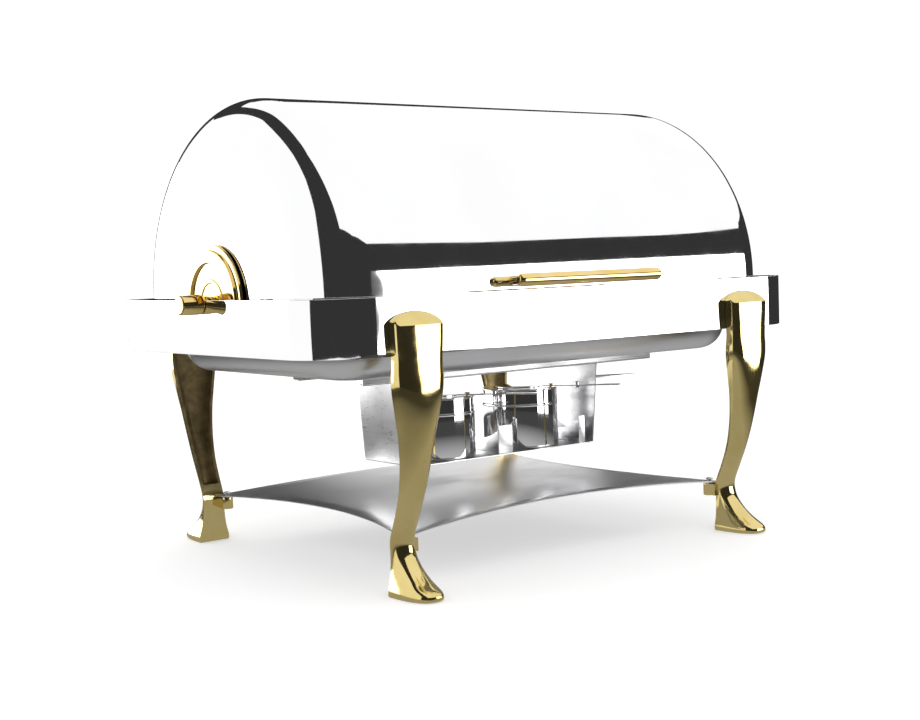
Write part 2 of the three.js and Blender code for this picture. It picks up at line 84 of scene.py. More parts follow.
# ---- mesh building -----------------------------------------------------------------------------
def piece_from(name, points, faces):
    """A mesh object from points in millimetres, with its faces turned outwards."""
    mesh = bpy.data.meshes.new(name)
    mesh.from_pydata([tuple(MM * value for value in point) for point in points], [], faces)
    mesh.validate()
    work = bmesh.new()
    work.from_mesh(mesh)
    bmesh.ops.recalc_face_normals(work, faces=work.faces)
    work.to_mesh(mesh)
    work.free()
    piece = bpy.data.objects.new(name, mesh)
    scene.collection.objects.link(piece)
    return piece


def loft(name, rings, joined=False):
    """A skin over rings of equal length; its ends are closed flat or joined to each other."""
    count = len(rings[0])
    points = [point for ring in rings for point in ring]
    faces = []
    for r in range(len(rings) if joined else len(rings) - 1):
        here, ahead = r * count, (r + 1) % len(rings) * count
        for i in range(count):
            j = (i + 1) % count
            faces.append((here + i, here + j, ahead + j, ahead + i))
    if not joined:
        last = (len(rings) - 1) * count
        faces.append(tuple(range(count)))
        faces.append(tuple(range(last, last + count)))
    return piece_from(name, points, faces)


def turned(name, profile, axis, centre=(0, 0, 0), steps=64):
    """A turned piece from [radius, along] pairs that end on the axis, or close on themselves."""
    points, rings = [], []
    for radius, along in profile:
        count = 1 if radius < 1e-6 else steps
        rings.append(list(range(len(points), len(points) + count)))
        for i in range(count):
            x, y, z = AXES[axis](radius, along, math.tau * i / steps)
            points.append((x + centre[0], y + centre[1], z + centre[2]))
    pairs = list(zip(rings, rings[1:]))
    if profile[0][0] > 1e-6:
        pairs.append((rings[-1], rings[0]))
    faces = []
    for one, two in pairs:
        for i in range(steps):
            j = (i + 1) % steps
            corners = [one[i % len(one)], one[j % len(one)], two[j % len(two)], two[i % len(two)]]
            faces.append(tuple(dict.fromkeys(corners)))
    return piece_from(name, points, [face for face in faces if len(face) > 2])


def rod_profile(radius, start, end):
    return [(0, start), (radius, start), (radius, end), (0, end)]


def eased(rows, radius=0.6, steps=3, closed=False):
    """The same outline with each sharp corner replaced by a small curve."""
    rows = [np.array(row, float) for row in rows]
    out = []
    for i, row in enumerate(rows):
        if not closed and i in (0, len(rows) - 1):
            out.append(tuple(row))
            continue
        back, ahead = rows[i - 1] - row, rows[(i + 1) % len(rows)] - row
        long_back, long_ahead = np.linalg.norm(back), np.linalg.norm(ahead)
        if back @ ahead < -0.985 * long_back * long_ahead:
            out.append(tuple(row))
            continue
        start = row + back * min(radius / long_back, 0.42)
        end = row + ahead * min(radius / long_ahead, 0.42)
        for k in range(steps + 1):
            t = k / steps
            out.append(tuple((1 - t) ** 2 * start + 2 * t * (1 - t) * row + t * t * end))
    return out


def smooth_rows(rows, per_step):
    """Rows interpolated along a smooth curve through all of them."""
    rows = np.array(rows, float)
    ends = [2 * rows[0] - rows[1], *rows, 2 * rows[-1] - rows[-2]]
    out = []
    for a, b, c, d in zip(ends, ends[1:], ends[2:], ends[3:]):
        for k in range(per_step):
            t = k / per_step
            curve = 2 * b + (c - a) * t + (2 * a - 5 * b + 4 * c - d) * t * t
            out.append((curve + (3 * b - a - 3 * c + d) * t**3) / 2)
    return [*out, rows[-1]]


def rounded_ring(half_x, half_y, corner, z, per_corner=24):
    ring = []
    for quarter in range(4):
        sign_x = 1 if quarter in (0, 3) else -1
        sign_y = 1 if quarter < 2 else -1
        for i in range(per_corner + 1):
            angle = (quarter + i / per_corner) * math.pi / 2
            x = sign_x * (half_x - corner) + corner * math.cos(angle)
            y = sign_y * (half_y - corner) + corner * math.sin(angle)
            ring.append((x, y, z))
    return ring


def bent_sheet(name, path, sheet, place):
    """A folded strip; path rows are the mid line (a, b) and its two edges across it."""
    rows = np.array(path, float)
    line = rows[:, :2]
    run = np.gradient(line, axis=0)
    normal = np.column_stack([-run[:, 1], run[:, 0]])
    normal /= np.linalg.norm(normal, axis=1)[:, None]
    upper, lower = line + normal * sheet / 2, line - normal * sheet / 2
    rings = []
    for (a, b), (c, d), (_, _, low, high) in zip(upper, lower, rows):
        rings.append([place(a, b, low), place(a, b, high), place(c, d, high), place(c, d, low)])
    return loft(name, rings)


def plate(name, outline, sheet, place):
    """A flat plate from an outline of (a, b) pairs; place(a, b, depth) puts it in the model."""
    rings = [[place(a, b, depth) for a, b in outline] for depth in (0, sheet)]
    return soften(loft(name, rings), 0.35)


def replace_mesh(piece):
    """Applies the piece's modifiers."""
    graph = bpy.context.evaluated_depsgraph_get()
    mesh = bpy.data.meshes.new_from_object(piece.evaluated_get(graph))
    piece.modifiers.clear()
    piece.data = mesh
    return piece


def soften(piece, width, segments=2, angle=40):
    bevel = piece.modifiers.new("bevel", "BEVEL")
    bevel.width = width * MM
    bevel.segments = segments
    bevel.limit_method = "ANGLE"
    bevel.angle_limit = math.radians(angle)
    return replace_mesh(piece)


def combine(piece, other, operation):
    """Cuts, adds or intersects another solid, which is used up."""
    boolean = piece.modifiers.new("boolean", "BOOLEAN")
    boolean.operation = operation
    boolean.solver = "EXACT"
    boolean.object = other
    replace_mesh(piece)
    bpy.data.objects.remove(other)
    return piece


def joined(pieces):
    """One object from several."""
    work = bmesh.new()
    for piece in pieces:
        work.from_mesh(piece.data)
    work.to_mesh(pieces[0].data)
    work.free()
    for piece in pieces[1:]:
        bpy.data.objects.remove(piece)
    return pieces[0]


def block(x0, x1, y0, y1, z0, z1):
    corners = [(x0, y0), (x1, y0), (x1, y1), (x0, y1)]
    return loft("block", [[(x, y, z) for x, y in corners] for z in (z0, z1)])


def mirrored(piece, name, sign_x, sign_y=1):
    """A copy of a piece, mirrored left to right and front to rear as the signs say."""
    mesh = piece.data.copy()
    mesh.transform(Matrix.Diagonal((sign_x, sign_y, 1, 1)))
    if sign_x * sign_y < 0:
        mesh.flip_normals()
    copy = bpy.data.objects.new(name, mesh)
    scene.collection.objects.link(copy)
    return copy


def settle(piece, body, slot, *nodes, material=None, sharp=32):
    """Finishes a piece: smooth shading, material, the body it rides on and what it stands for."""
    mesh = piece.data
    mesh.materials.clear()
    mesh.materials.append(material or MATERIALS[slot])
    for polygon in mesh.polygons:
        polygon.use_smooth = True
    mesh.set_sharp_from_angle(angle=math.radians(sharp))
    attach(piece, body)
    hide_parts(*nodes)
    return piece


# ---- materials ---------------------------------------------------------------------------------
NOISE_MIDDLE = (0.3, 0.7)  # nearly all of a noise pattern's values lie between these


def map_range(tree, limits):
    """A node that maps values; limits are the range they come from, then the range they go to."""
    ramp = tree.nodes.new("ShaderNodeMapRange")
    for socket, value in zip(("From Min", "From Max", "To Min", "To Max"), limits):
        ramp.inputs[socket].default_value = value
    return ramp


class Surface:
    """A metal material whose colour, roughness and relief come from noise patterns."""

    def __init__(self, name, color, roughness, **sockets):
        self.material = bpy.data.materials.new(name)
        self.material.use_nodes = True
        self.tree = self.material.node_tree
        self.shader = self.tree.nodes["Principled BSDF"]
        self.shader.inputs["Metallic"].default_value = 1
        self.shader.inputs["Base Color"].default_value = (*color, 1)
        self.shader.inputs["Roughness"].default_value = roughness
        for socket, value in sockets.items():
            self.shader.inputs[socket.replace("_", " ")].default_value = value
        self.place = self.tree.nodes.new("ShaderNodeTexCoord").outputs["Object"]
        self.relief = None

    def noise(self, scale, detail=2.0, stretch=(1, 1, 1)):
        """Noise with `scale` features to the metre, drawn out along axes with a small stretch."""
        mapping = self.tree.nodes.new("ShaderNodeMapping")
        mapping.inputs["Scale"].default_value = stretch
        self.tree.links.new(self.place, mapping.inputs["Vector"])
        noise = self.tree.nodes.new("ShaderNodeTexNoise")
        noise.inputs["Scale"].default_value = scale
        noise.inputs["Detail"].default_value = detail
        self.tree.links.new(mapping.outputs["Vector"], noise.inputs["Vector"])
        return noise.outputs["Fac"]

    def band(self, pattern, low, high):
        """The middle of the pattern's values stretched over the range from low to high."""
        ramp = map_range(self.tree, (*NOISE_MIDDLE, low, high))
        self.tree.links.new(pattern, ramp.inputs["Value"])
        return ramp.outputs["Result"]

    def rough(self, pattern, low, high):
        self.tree.links.new(self.band(pattern, low, high), self.shader.inputs["Roughness"])

    def tint(self, pattern, one, two):
        mix = self.tree.nodes.new("ShaderNodeMix")
        mix.data_type = "RGBA"
        mix.inputs["A"].default_value = (*one, 1)
        mix.inputs["B"].default_value = (*two, 1)
        self.tree.links.new(self.band(pattern, 0, 1), mix.inputs["Factor"])
        self.tree.links.new(mix.outputs["Result"], self.shader.inputs["Base Color"])

    def bump(self, pattern, height):
        """Adds relief of this height in metres on top of what is there."""
        bump = self.tree.nodes.new("ShaderNodeBump")
        bump.inputs["Distance"].default_value = height
        self.tree.links.new(pattern, bump.inputs["Height"])
        if self.relief:
            self.tree.links.new(self.relief, bump.inputs["Normal"])
        self.relief = bump.outputs["Normal"]
        self.tree.links.new(self.relief, self.shader.inputs["Normal"])


def polished_steel():
    """Mirror-polished sheet: faint waves from forming, and fine ripples along the dish's length."""
    steel = Surface("polished_steel", (0.93, 0.93, 0.94), 0.04)
    steel.rough(steel.noise(40, 4), 0.025, 0.06)
    steel.tint(steel.noise(9, 3), (0.92, 0.92, 0.93), (0.96, 0.96, 0.965))
    steel.bump(steel.noise(7, 1), 0.00006)
    steel.bump(steel.noise(90, 1, (0.25, 1, 1)), 0.0000025)
    return steel.material


def satin_steel(name="satin_steel", low=0.26, high=0.34, shade=0.78):
    """Satin sheet: its roughness is streaked along the dish's length, and it waves a little."""
    steel = Surface(name, (shade, shade, shade + 0.02), low, Anisotropic=0.3)
    steel.rough(steel.noise(420, 4, (0.03, 0.2, 1)), low, high)
    steel.tint(steel.noise(14, 4), (shade - 0.02,) * 3, (shade + 0.02, shade + 0.02, shade + 0.04))
    steel.bump(steel.noise(6, 1), 0.00004)
    return steel.material


def polished_brass():
    """Turned and lacquered brass with faint waves and warm tarnish in patches."""
    brass = Surface("polished_brass", (0.84, 0.64, 0.27), 0.06)
    brass.rough(brass.noise(160, 4), 0.04, 0.09)
    brass.tint(brass.noise(30, 4), (0.80, 0.59, 0.22), (0.88, 0.69, 0.33))
    brass.bump(brass.noise(60, 2), 0.000012)
    return brass.material


def cast_brass():
    """Cast legs: buffed outside with soft waves, so reflections wander a little."""
    brass = Surface("cast_brass", (0.78, 0.63, 0.26), 0.09)
    brass.rough(brass.noise(120, 4), 0.06, 0.13)
    brass.tint(brass.noise(24, 5), (0.71, 0.57, 0.22), (0.82, 0.67, 0.30))
    brass.bump(brass.noise(26, 2), 0.00012)
    brass.bump(brass.noise(420, 3), 0.000004)
    return brass.material


def raw_casting():
    """The hollow back of a leg: left as it came from the mould."""
    brass = Surface("raw_casting", (0.42, 0.33, 0.16), 0.55)
    brass.rough(brass.noise(300, 5), 0.42, 0.7)
    brass.tint(brass.noise(60, 5), (0.24, 0.18, 0.09), (0.5, 0.39, 0.19))
    brass.bump(brass.noise(700, 5), 0.00035)
    return brass.material


def bearing_brass():
    brass = Surface("bush_brass", (0.62, 0.46, 0.2), 0.25)
    brass.rough(brass.noise(500, 3), 0.18, 0.34)
    brass.tint(brass.noise(80, 3), (0.55, 0.4, 0.17), (0.68, 0.52, 0.24))
    return brass.material


def stage_paper(name, shade, strength=0):
    """Dull paper or cloth for the floor and the studio cards, and for the glowing disc that paints the
    table's reflection; strength makes it glow.
    """
    paper = bpy.data.materials.new(name)
    paper.use_nodes = True
    shader = paper.node_tree.nodes["Principled BSDF"]
    shader.inputs["Base Color"].default_value = (shade, shade, shade, 1)
    shader.inputs["Roughness"].default_value = 0.9
    shader.inputs["Specular IOR Level"].default_value = 0.1
    shader.inputs["Emission Color"].default_value = (1, 1, 1, 1)
    shader.inputs["Emission Strength"].default_value = strength
    return paper


MATERIALS = {
    "polished_steel": polished_steel(),
    "satin_steel": satin_steel(),
    "polished_brass": polished_brass(),
    "cast_brass": cast_brass(),
    "bush_brass": bearing_brass(),
}
PAN_STEEL = satin_steel("pan_steel", 0.3, 0.36, 0.84)
SHELF_STEEL = satin_steel("shelf_steel", 0.28, 0.34, 0.9)
TIN = satin_steel("can_tin", 0.24, 0.36, 0.66)
RAW = raw_casting()


# ---- gallery band --------------------------------------------------------------------------------
def gallery_band():
    """The upright sheet frame, its edges eased, slotted at each end for a spindle."""
    bottom, top, sheet = band["bottom"], band["top"], band["sheet"]
    half_x, half_y, corner = band["half_x"], band["half_y"], band["corner"]
    rings = []
    for inset, z in eased([(0, bottom), (0, top), (sheet, top), (sheet, bottom)], 0.5, closed=True):
        rings.append(rounded_ring(half_x - inset, half_y - inset, corner - inset, z, 40))
    piece = loft("gallery_band", rings, joined=True)
    for sign in SIDES.values():
        x0, x1 = sorted((sign * (half_x - 5), sign * (half_x + 5)))
        slot = turned("slot", rod_profile(SPINDLE_BORE, x0, x1), "x", PIVOT, 24)
        combine(slot, block(x0, x1, -SPINDLE_BORE, SPINDLE_BORE, PIVOT_Z, top + 14.5), "UNION")
        combine(piece, slot, "DIFFERENCE")
    settle(piece, "frame", "polished_steel", "gallery_band")


# ---- legs ------------------------------------------------------------------------------------------
# from the sole up: height, half width, rear and front distance from the middle, squareness
LEG_ROWS = [
    (0, 17.2, 186.3, 232, 2.6),
    (1.2, 18.2, 186, 236, 2.7),
    (3.5, 18.5, 186, 236.8, 2.8),
    (8, 17.8, 186, 234.5, 2.7),
    (16, 15.6, 185.5, 221, 2.4),
    (26, 13.8, 184.5, 208, 2.2),
    (38, 12.7, 183.5, 198.5, 2.0),
    (52, 12.5, 183.5, 196, 2.0),
    (70, 12.6, 191, 203.5, 2.0),
    (90, 13.2, 199.5, 212.5, 2.0),
    (110, 14.6, 205.5, 219.5, 2.0),
    (130, 16.5, 209.5, 224.5, 2.1),
    (150, 19, 212, 228, 2.3),
    (170, 22.4, 213.5, 231, 2.6),
    (190, 25.6, 214.5, 232.9, 3.0),
    (203, 26.2, 215.5, 232.6, 3.2),
    (211, 25.8, 216.1, 231.6, 3.4),
    (218, 25.7, 216.3, 231.5, 3.5),
    (228, 26.3, 216.3, 231.8, 3.6),
    (240, 26.8, 216.3, 231.9, 3.8),
    (249.5, 27.1, 216.3, 232, 3.8),
]
LEG_TOP = 262  # the domed top's middle, above the last row
CHANNEL_FROM = 64
CHANNEL_WALL = 3.2


def leg_ring(z, half, rear, front, squareness, count=30):
    """A leg's section: flat at the back, rounded and squared at the front."""
    ring = []
    for i in range(count + 1):
        angle = math.pi * i / count
        cosine = math.cos(angle)
        x = math.copysign(abs(cosine) ** (2 / squareness), cosine) * half
        y = rear + (front - rear) * max(math.sin(angle), 0) ** (2 / squareness)
        ring.append((LEG_X + x, -y, z))
    return ring


def leg_body():
    rows = smooth_rows(LEG_ROWS, 4)
    rings = [leg_ring(*row) for row in rows]
    shoulder, half, rear, front, squareness = rows[-1]
    steps = 14
    for i in range(1, steps + 1):
        lift = i / steps
        rise = (LEG_TOP - shoulder) * lift
        narrowed = half * max(0.08, math.sqrt(1 - lift * lift))
        rings.append(leg_ring(shoulder + rise, narrowed, rear, front - rise, squareness))
    return loft("leg", rings)


def leg_channel():
    """The hollow up the back of a leg."""
    rows = [row for row in smooth_rows(LEG_ROWS, 2) if row[0] > CHANNEL_FROM]
    rings = []
    for z, half, rear, front, squareness in rows:
        rings.append(leg_ring(z, half - CHANNEL_WALL, rear - 3, front - CHANNEL_WALL, squareness, 16))
    return loft("channel", [[(x, y, CHANNEL_FROM) for x, y, _ in rings[0]], *rings])


def paint_hollow(piece):
    """Gives the faces inside a leg's hollow the as-cast material."""
    piece.data.materials.clear()
    piece.data.materials.append(MATERIALS["cast_brass"])
    piece.data.materials.append(RAW)
    for polygon in piece.data.polygons:
        x, y, z = polygon.center / MM
        inwards = (abs(x) - LEG_X) * math.copysign(1, x) * polygon.normal.x < -0.3
        backwards = y * polygon.normal.y < 0
        if z > CHANNEL_FROM and (inwards or backwards or abs(polygon.normal.z) > 0.98):
            polygon.material_index = 1


def legs():
    body = combine(leg_body(), leg_channel(), "DIFFERENCE")
    post = [(0, -228.5), (5, -228.5), (5, -217), (4.4, -216.4), (0, -216.4)]
    for bolt_x in (LEG_X - BOLT_REACH, LEG_X + BOLT_REACH):
        combine(body, turned("post", post, "y", (bolt_x, 0, BOLT_Z), 20), "UNION")
    x, y = SHELF_SCREW
    pad = turned("pad", eased(rod_profile(6.5, 37, 50.4), 0.8), "z", (x, -y, 0), 28)
    combine(pad, block(x - 6.4, x + 6.4, -186, -y, 38, 50.4), "UNION")
    combine(body, pad, "UNION")
    for corner, (sign_x, sign_y) in CORNERS.items():
        piece = mirrored(body, f"leg_skin_{corner}", sign_x, sign_y)
        settle(piece, "frame", "cast_brass", f"leg_{corner}", sharp=38)
        paint_hollow(piece)
    bpy.data.objects.remove(body)


def slotted_head(piece, centre, axis):
    """Cuts a screwdriver slot, 1 mm wide and 1.1 mm deep, across a screw's head."""
    x, y, z = centre
    if axis == "y":
        slot = block(x - 5, x + 5, y - 1.1, y + 3, z - 0.5, z + 0.5)
    else:
        slot = block(x - 5, x + 5, y - 0.5, y + 0.5, z - 1.1, z + 3)
    combine(piece, slot, "DIFFERENCE")


def leg_screws():
    """Pan-head screws through the band into each leg, and one through the shelf."""
    inside = -band["half_y"] + band["sheet"] + 0.3
    profile = [
        (0, inside - 9), (2.4, inside - 9), (2.4, inside), (4.6, inside), (4.4, inside + 1.6),
        (3.2, inside + 2.5), (0, inside + 2.8),
    ]
    for index, bolt_x in ((1, LEG_X - BOLT_REACH), (2, LEG_X + BOLT_REACH)):
        screw = turned("screw", eased(profile, 0.5), "y", (bolt_x, 0, BOLT_Z), 24)
        slotted_head(screw, (bolt_x, inside + 2.8, BOLT_Z), "y")
        for corner, signs in CORNERS.items():
            copy = mirrored(screw, f"band_screw_{corner}_{index}", *signs)
            settle(copy, "frame", "satin_steel", f"leg_screw_{corner}_{index}")
        bpy.data.objects.remove(screw)
    x, y = SHELF_SCREW
    profile = [(0, 41), (2, 41), (2, 54), (4.2, 54), (3.9, 55.2), (2.4, 56.1), (0, 56.4)]
    screw = turned("screw", eased(profile, 0.4), "z", (x, -y, 0), 24)
    slotted_head(screw, (x, -y, 56.4), "z")
    for corner, signs in CORNERS.items():
        copy = mirrored(screw, f"shelf_fixing_{corner}", *signs)
        settle(copy, "frame", "satin_steel", f"shelf_screw_{corner}")
    bpy.data.objects.remove(screw)


# ---- lower shelf -----------------------------------------------------------------------------------
def shelf_point(u, v, drop):
    """The point at shares u and v of the way to the right and rear edges, below the top by drop."""
    x = u * (shelf["mid_x"] + (shelf["corner_x"] - shelf["mid_x"]) * v * v)
    y = v * (shelf["mid_y"] + (shelf["corner_y"] - shelf["mid_y"]) * u * u)
    z = shelf["level"] + shelf["rise"] * (1 - (x / shelf["corner_x"]) ** 2) - drop
    return x, y, z


def lower_shelf():
    """A sheet with four hollowed edges, arched a little along its length."""
    across, along = 40, 56
    rim = [(2 * i / along - 1, -1) for i in range(along)]
    rim += [(1, 2 * i / across - 1) for i in range(across)]
    rim += [(1 - 2 * i / along, 1) for i in range(along)]
    rim += [(-1, 1 - 2 * i / across) for i in range(across)]
    shares = (0.001, 0.25, 0.5, 0.75, 0.9, 0.997, 1)
    rings = []
    for share in shares:
        drop = 0.25 if share == 1 else 0
        rings.append([shelf_point(u * share, v * share, drop) for u, v in rim])
    for share in reversed(shares):
        drop = shelf["sheet"] - (0.25 if share == 1 else 0)
        rings.append([shelf_point(u * share, v * share, drop) for u, v in rim])
    settle(loft("shelf_skin", rings), "frame", "satin_steel", "lower_shelf", material=SHELF_STEEL)


# ---- cover -------------------------------------------------------------------------------------------
def cover_profile(inset):
    """[radius, x] pairs from the right end's middle, over the rim, to the left end's middle."""
    rim = cover["radius"] - cover["edge"]
    half = []
    for i in range(27):
        half.append((rim * i / 26, cover["apex"] - cover["drop"] * (i / 26) ** 2))
    start = np.array(half[-1])
    end = np.array((cover["radius"], cover["straight"]), float)
    slope = -2 * cover["drop"] / rim
    out = start + np.array((1, slope)) * cover["edge"] * 0.55
    down = end + np.array((0, (start[1] - end[1]) * 0.55))
    for i in range(1, 21):
        t = i / 20
        near = (1 - t) ** 3 * start + 3 * t * (1 - t) ** 2 * out
        far = 3 * t * t * (1 - t) * down + t**3 * end
        half.append(tuple(near + far))
    line = np.array(half)
    run = np.gradient(line, axis=0)
    run[0], run[-1] = (1, 0), (0, -1)
    normal = np.column_stack([-run[:, 1], run[:, 0]])
    line += inset * -normal / np.linalg.norm(normal, axis=1)[:, None]
    line[0, 0] = 0
    right = [tuple(row) for row in line]
    return right + [(radius, -x) for radius, x in reversed(right)]


def keep_volume(ear):
    """The space above the cover's lower edge, with the round ears about the pivot."""
    keep = block(-400, 400, -260, 260, COVER_BOTTOM, 620)
    rod = turned("ear", rod_profile(ear, -400, 400), "x", PIVOT, 64)
    return combine(keep, rod, "UNION")


def cover_skin():
    centre = (0, 0, cover["centre_z"])
    piece = turned("cover_skin", cover_profile(0), "x", centre, 180)
    combine(piece, turned("inner", cover_profile(cover["sheet"]), "x", centre, 180), "DIFFERENCE")
    combine(piece, keep_volume(EAR), "INTERSECT")
    bore = turned("bore", rod_profile(HUB_BORE, -320, 320), "x", PIVOT, 32)
    combine(piece, bore, "DIFFERENCE")
    nodes = ("cover_barrel", "cover_end_left", "cover_end_right")
    settle(piece, "cover", "polished_steel", *nodes, sharp=25)


def pivot_hubs():
    """Stepped brass bearing plates on the cover's ends, cut off level with its lower edge."""
    back, face, ring, raised = hub["back"], hub["face"], hub["ring"], hub["face"] + hub["boss"]
    profile = [
        (HUB_BORE, back), (hub["outer"], back), (hub["outer"], face), (hub["ring_outer"], face),
        (hub["ring_outer"], ring), (hub["ring_inner"], ring), (hub["ring_inner"], face),
        (24, face), (24, raised), (20, raised), (20, face), (HUB_BORE, face),
    ]
    disc = turned("hub", eased(profile, 0.8, 4, closed=True), "x", PIVOT, 128)
    combine(disc, keep_volume(EAR - 1), "INTERSECT")
    near, far = cover["apex"] - 4, face + 1.5
    wall = [(SPINDLE_BORE, near), (6.5, near), (6.5, far), (SPINDLE_BORE, far)]
    bush = turned("bush", eased(wall, 0.4, closed=True), "x", PIVOT, 32)
    for side, sign in SIDES.items():
        plate_piece = mirrored(disc, f"hub_{side}", sign)
        settle(plate_piece, "cover", "polished_brass", f"pivot_hub_{side}", sharp=40)
        settle(mirrored(bush, f"bush_{side}", sign), "cover", "bush_brass", f"hub_bush_{side}")
    bpy.data.objects.remove(disc)
    bpy.data.objects.remove(bush)


def spindles():
    """The end spindles with their knobs, spacers, nuts and the brackets for the pan."""
    bore, clear = SPINDLE_BORE, hub["ring"] + 0.6
    knob = [
        (0, CARRIER_X), (4, CARRIER_X), (4, 315.3), (9.2, 315.3), (10, 316.4), (10, 337),
        (8.6, 338.7), (0, 339),
    ]
    spacer = eased([(bore, clear), (8, clear), (8, 313.2), (bore, 313.2)], 0.5, closed=True)
    nut = [(bore, 273.3), (6.4, 273.3), (7.5, 274.2), (7.5, 278.6), (6.4, 279.5), (bore, 279.5)]
    parts = {
        "pivot_spindle": (turned("knob", eased(knob, 0.9, 4), "x", PIVOT, 48), "polished_brass"),
        "spindle_spacer": (turned("spacer", spacer, "x", PIVOT, 32), "polished_brass"),
        "spindle_nut": (turned("nut", nut, "x", PIVOT, 6), "satin_steel"),
    }
    top = pan["top"] - pan["sheet"] - 0.3
    outline = [(-48, 238), (48, 238), (62, 252), (62, top), (-62, top), (-62, 252)]
    outline = eased(outline, 5, 4, closed=True)
    carrier = plate("carrier", outline, 3, lambda a, b, depth: (CARRIER_X + depth, a, b))
    parts["pan_carrier"] = (carrier, "satin_steel")
    for node, (part, slot) in parts.items():
        for side, sign in SIDES.items():
            settle(mirrored(part, f"{node}_piece_{side}", sign), "frame", slot, f"{node}_{side}")
        bpy.data.objects.remove(part)


def cover_handle():
    """The brass bar handle on two posts."""
    radius, reach = handle["radius"], handle["half_length"]
    end = []
    for angle in np.linspace(0, math.pi / 2, 10):
        end.append((radius * math.sin(angle), -reach + 5 * (1 - math.cos(angle))))
    profile = end + [(r, -along) for r, along in reversed(end)]
    grip = turned("grip", profile, "x", (0, handle["y"], handle["z"]), 40)
    settle(grip, "cover", "polished_brass", "handle_grip")
    cover_y = -math.sqrt(cover["radius"] ** 2 - (handle["z"] - cover["centre_z"]) ** 2) - 0.8
    grip_y = handle["y"] + 3
    post = [
        (0, grip_y), (4.6, grip_y), (4.6, cover_y - 4), (5, cover_y - 1.5), (5, cover_y), (0, cover_y),
    ]
    inside = -cover["radius"] + 2
    screw = [
        (0, inside - 4), (2, inside - 4), (2, inside), (4, inside), (3, inside + 2), (0, inside + 2.3),
    ]
    for side, sign in SIDES.items():
        centre = (sign * handle["post_x"], 0, handle["z"])
        piece = turned(f"post_{side}", eased(post, 0.5), "y", centre, 32)
        settle(piece, "cover", "polished_brass", f"handle_post_{side}")
        piece = turned(f"grip_screw_{side}", eased(screw, 0.4), "y", centre, 24)
        settle(piece, "cover", "satin_steel", f"handle_screw_{side}")


# ---- pans ----------------------------------------------------------------------------------------------
def water_pan():
    """The deep pan: a pressed sheet with a large bottom fillet and a flat rim."""
    sheet, top, fillet = pan["sheet"], pan["top"], pan["fillet"]

    def skin(inset):
        rows = []
        for i in range(15):
            angle = math.pi / 2 * i / 14
            pull = fillet * (1 - math.sin(angle)) + inset * math.sin(angle)
            rise = fillet * (1 - math.cos(angle)) + inset * math.cos(angle)
            rows.append((pull, pan["bottom"] + rise))
        return rows

    outside = skin(0) + [(0, top - sheet), (-6, top - sheet), (-6, top)]
    inside = [(13.5, top), (13.5, top - sheet), (sheet, top - sheet)] + skin(sheet)[::-1]
    rings = []
    for pull, z in eased(outside + inside, 0.35, 2):
        corner = max(pan["corner"] - pull, 20)
        rings.append(rounded_ring(pan["half_x"] - pull, pan["half_y"] - pull, corner, z))
    settle(loft("water_pan_skin", rings), "water_pan", "satin_steel", "water_pan", material=PAN_STEEL)


def food_pan():
    rim_top = pan["top"] + 0.3 + food["sheet"]
    floor = rim_top - food["depth"]

    def skin(inset):
        rows = []
        for i in range(11):
            angle = math.pi / 2 * i / 10
            pull = food["inset"] + 4 * (1 - i / 10) + inset + 14 * (1 - math.sin(angle))
            rise = inset + 14 * (1 - math.cos(angle))
            rows.append((pull, floor + rise, 38 - 14 * (1 - math.sin(angle))))
        return rows

    under = rim_top - food["sheet"]
    inset = food["inset"]
    rows = skin(food["sheet"])
    rows += [(inset + food["sheet"], rim_top, 40), (0, rim_top, 24), (0, under, 24), (inset, under, 40)]
    rows += skin(0)[::-1]
    rings = []
    for pull, z, corner in eased(rows, 0.45, 3):
        rings.append(rounded_ring(food["half_x"] - pull, food["half_y"] - pull, corner, z))
    settle(loft("food_pan_skin", rings), "food_pan", "satin_steel", "food_pan", material=PAN_STEEL)


# ---- burner tray -----------------------------------------------------------------------------------------
def tray_rails():
    top = pan["bottom"] - 0.3 - SHEET / 2
    lip = tray["top"] - tray["sheet"] - 0.3 - SHEET / 2
    path = eased([(-80, top), (-67.4, top), (-67.4, lip), (-56, lip)], 1.6, 4)
    rows = [(a, b, -176, 224) for a, b in path]
    for side, sign in (("front", 1), ("rear", -1)):
        rail = bent_sheet(f"rail_{side}", rows, SHEET, lambda a, b, c: (c, sign * a, b))
        settle(soften(rail, 0.25), "water_pan", "satin_steel", f"tray_rail_{side}")


def burner_tray():
    """One folded sheet: flange, end, floor, end, flange; with a pointed pull tab."""
    left, right = tray["left"] + 0.6, tray["right"] + 0.6
    low, high = tray["bottom"] + 0.6, tray["top"] - 0.6
    wide, narrow, base = 64, tray["half_top"], tray["half_bottom"]
    path = [
        (left - 14.4, high, wide), (left - 2.5, high, wide), (left, high - 0.5, wide),
        (left, high - 2.5, wide), (left, high - 3, narrow), (left, low, base),
        (right, low, base), (right, high - 3, narrow), (right, high - 2.5, wide),
        (right, high - 0.5, wide), (right + 2.5, high, wide), (right + 14.4, high, wide),
    ]
    rows = [(x, z, -half, half) for x, z, half in eased(path, 1.8, 3)]
    sheet = bent_sheet("tray_skin", rows, tray["sheet"], lambda a, b, c: (a, c, b))
    soften(sheet, 0.25, 2, 60)
    outline = [(tray["right"] + 0.4, -12), (214, -52), (214, -56), (tray["right"] + 0.4, -50)]
    outline = eased(outline, 1.5, 3, closed=True)
    tab = plate("tab", outline, tray["sheet"], lambda a, b, depth: (a, b, 165 + depth))
    settle(joined([sheet, tab]), "burner_tray", "satin_steel", "burner_tray")


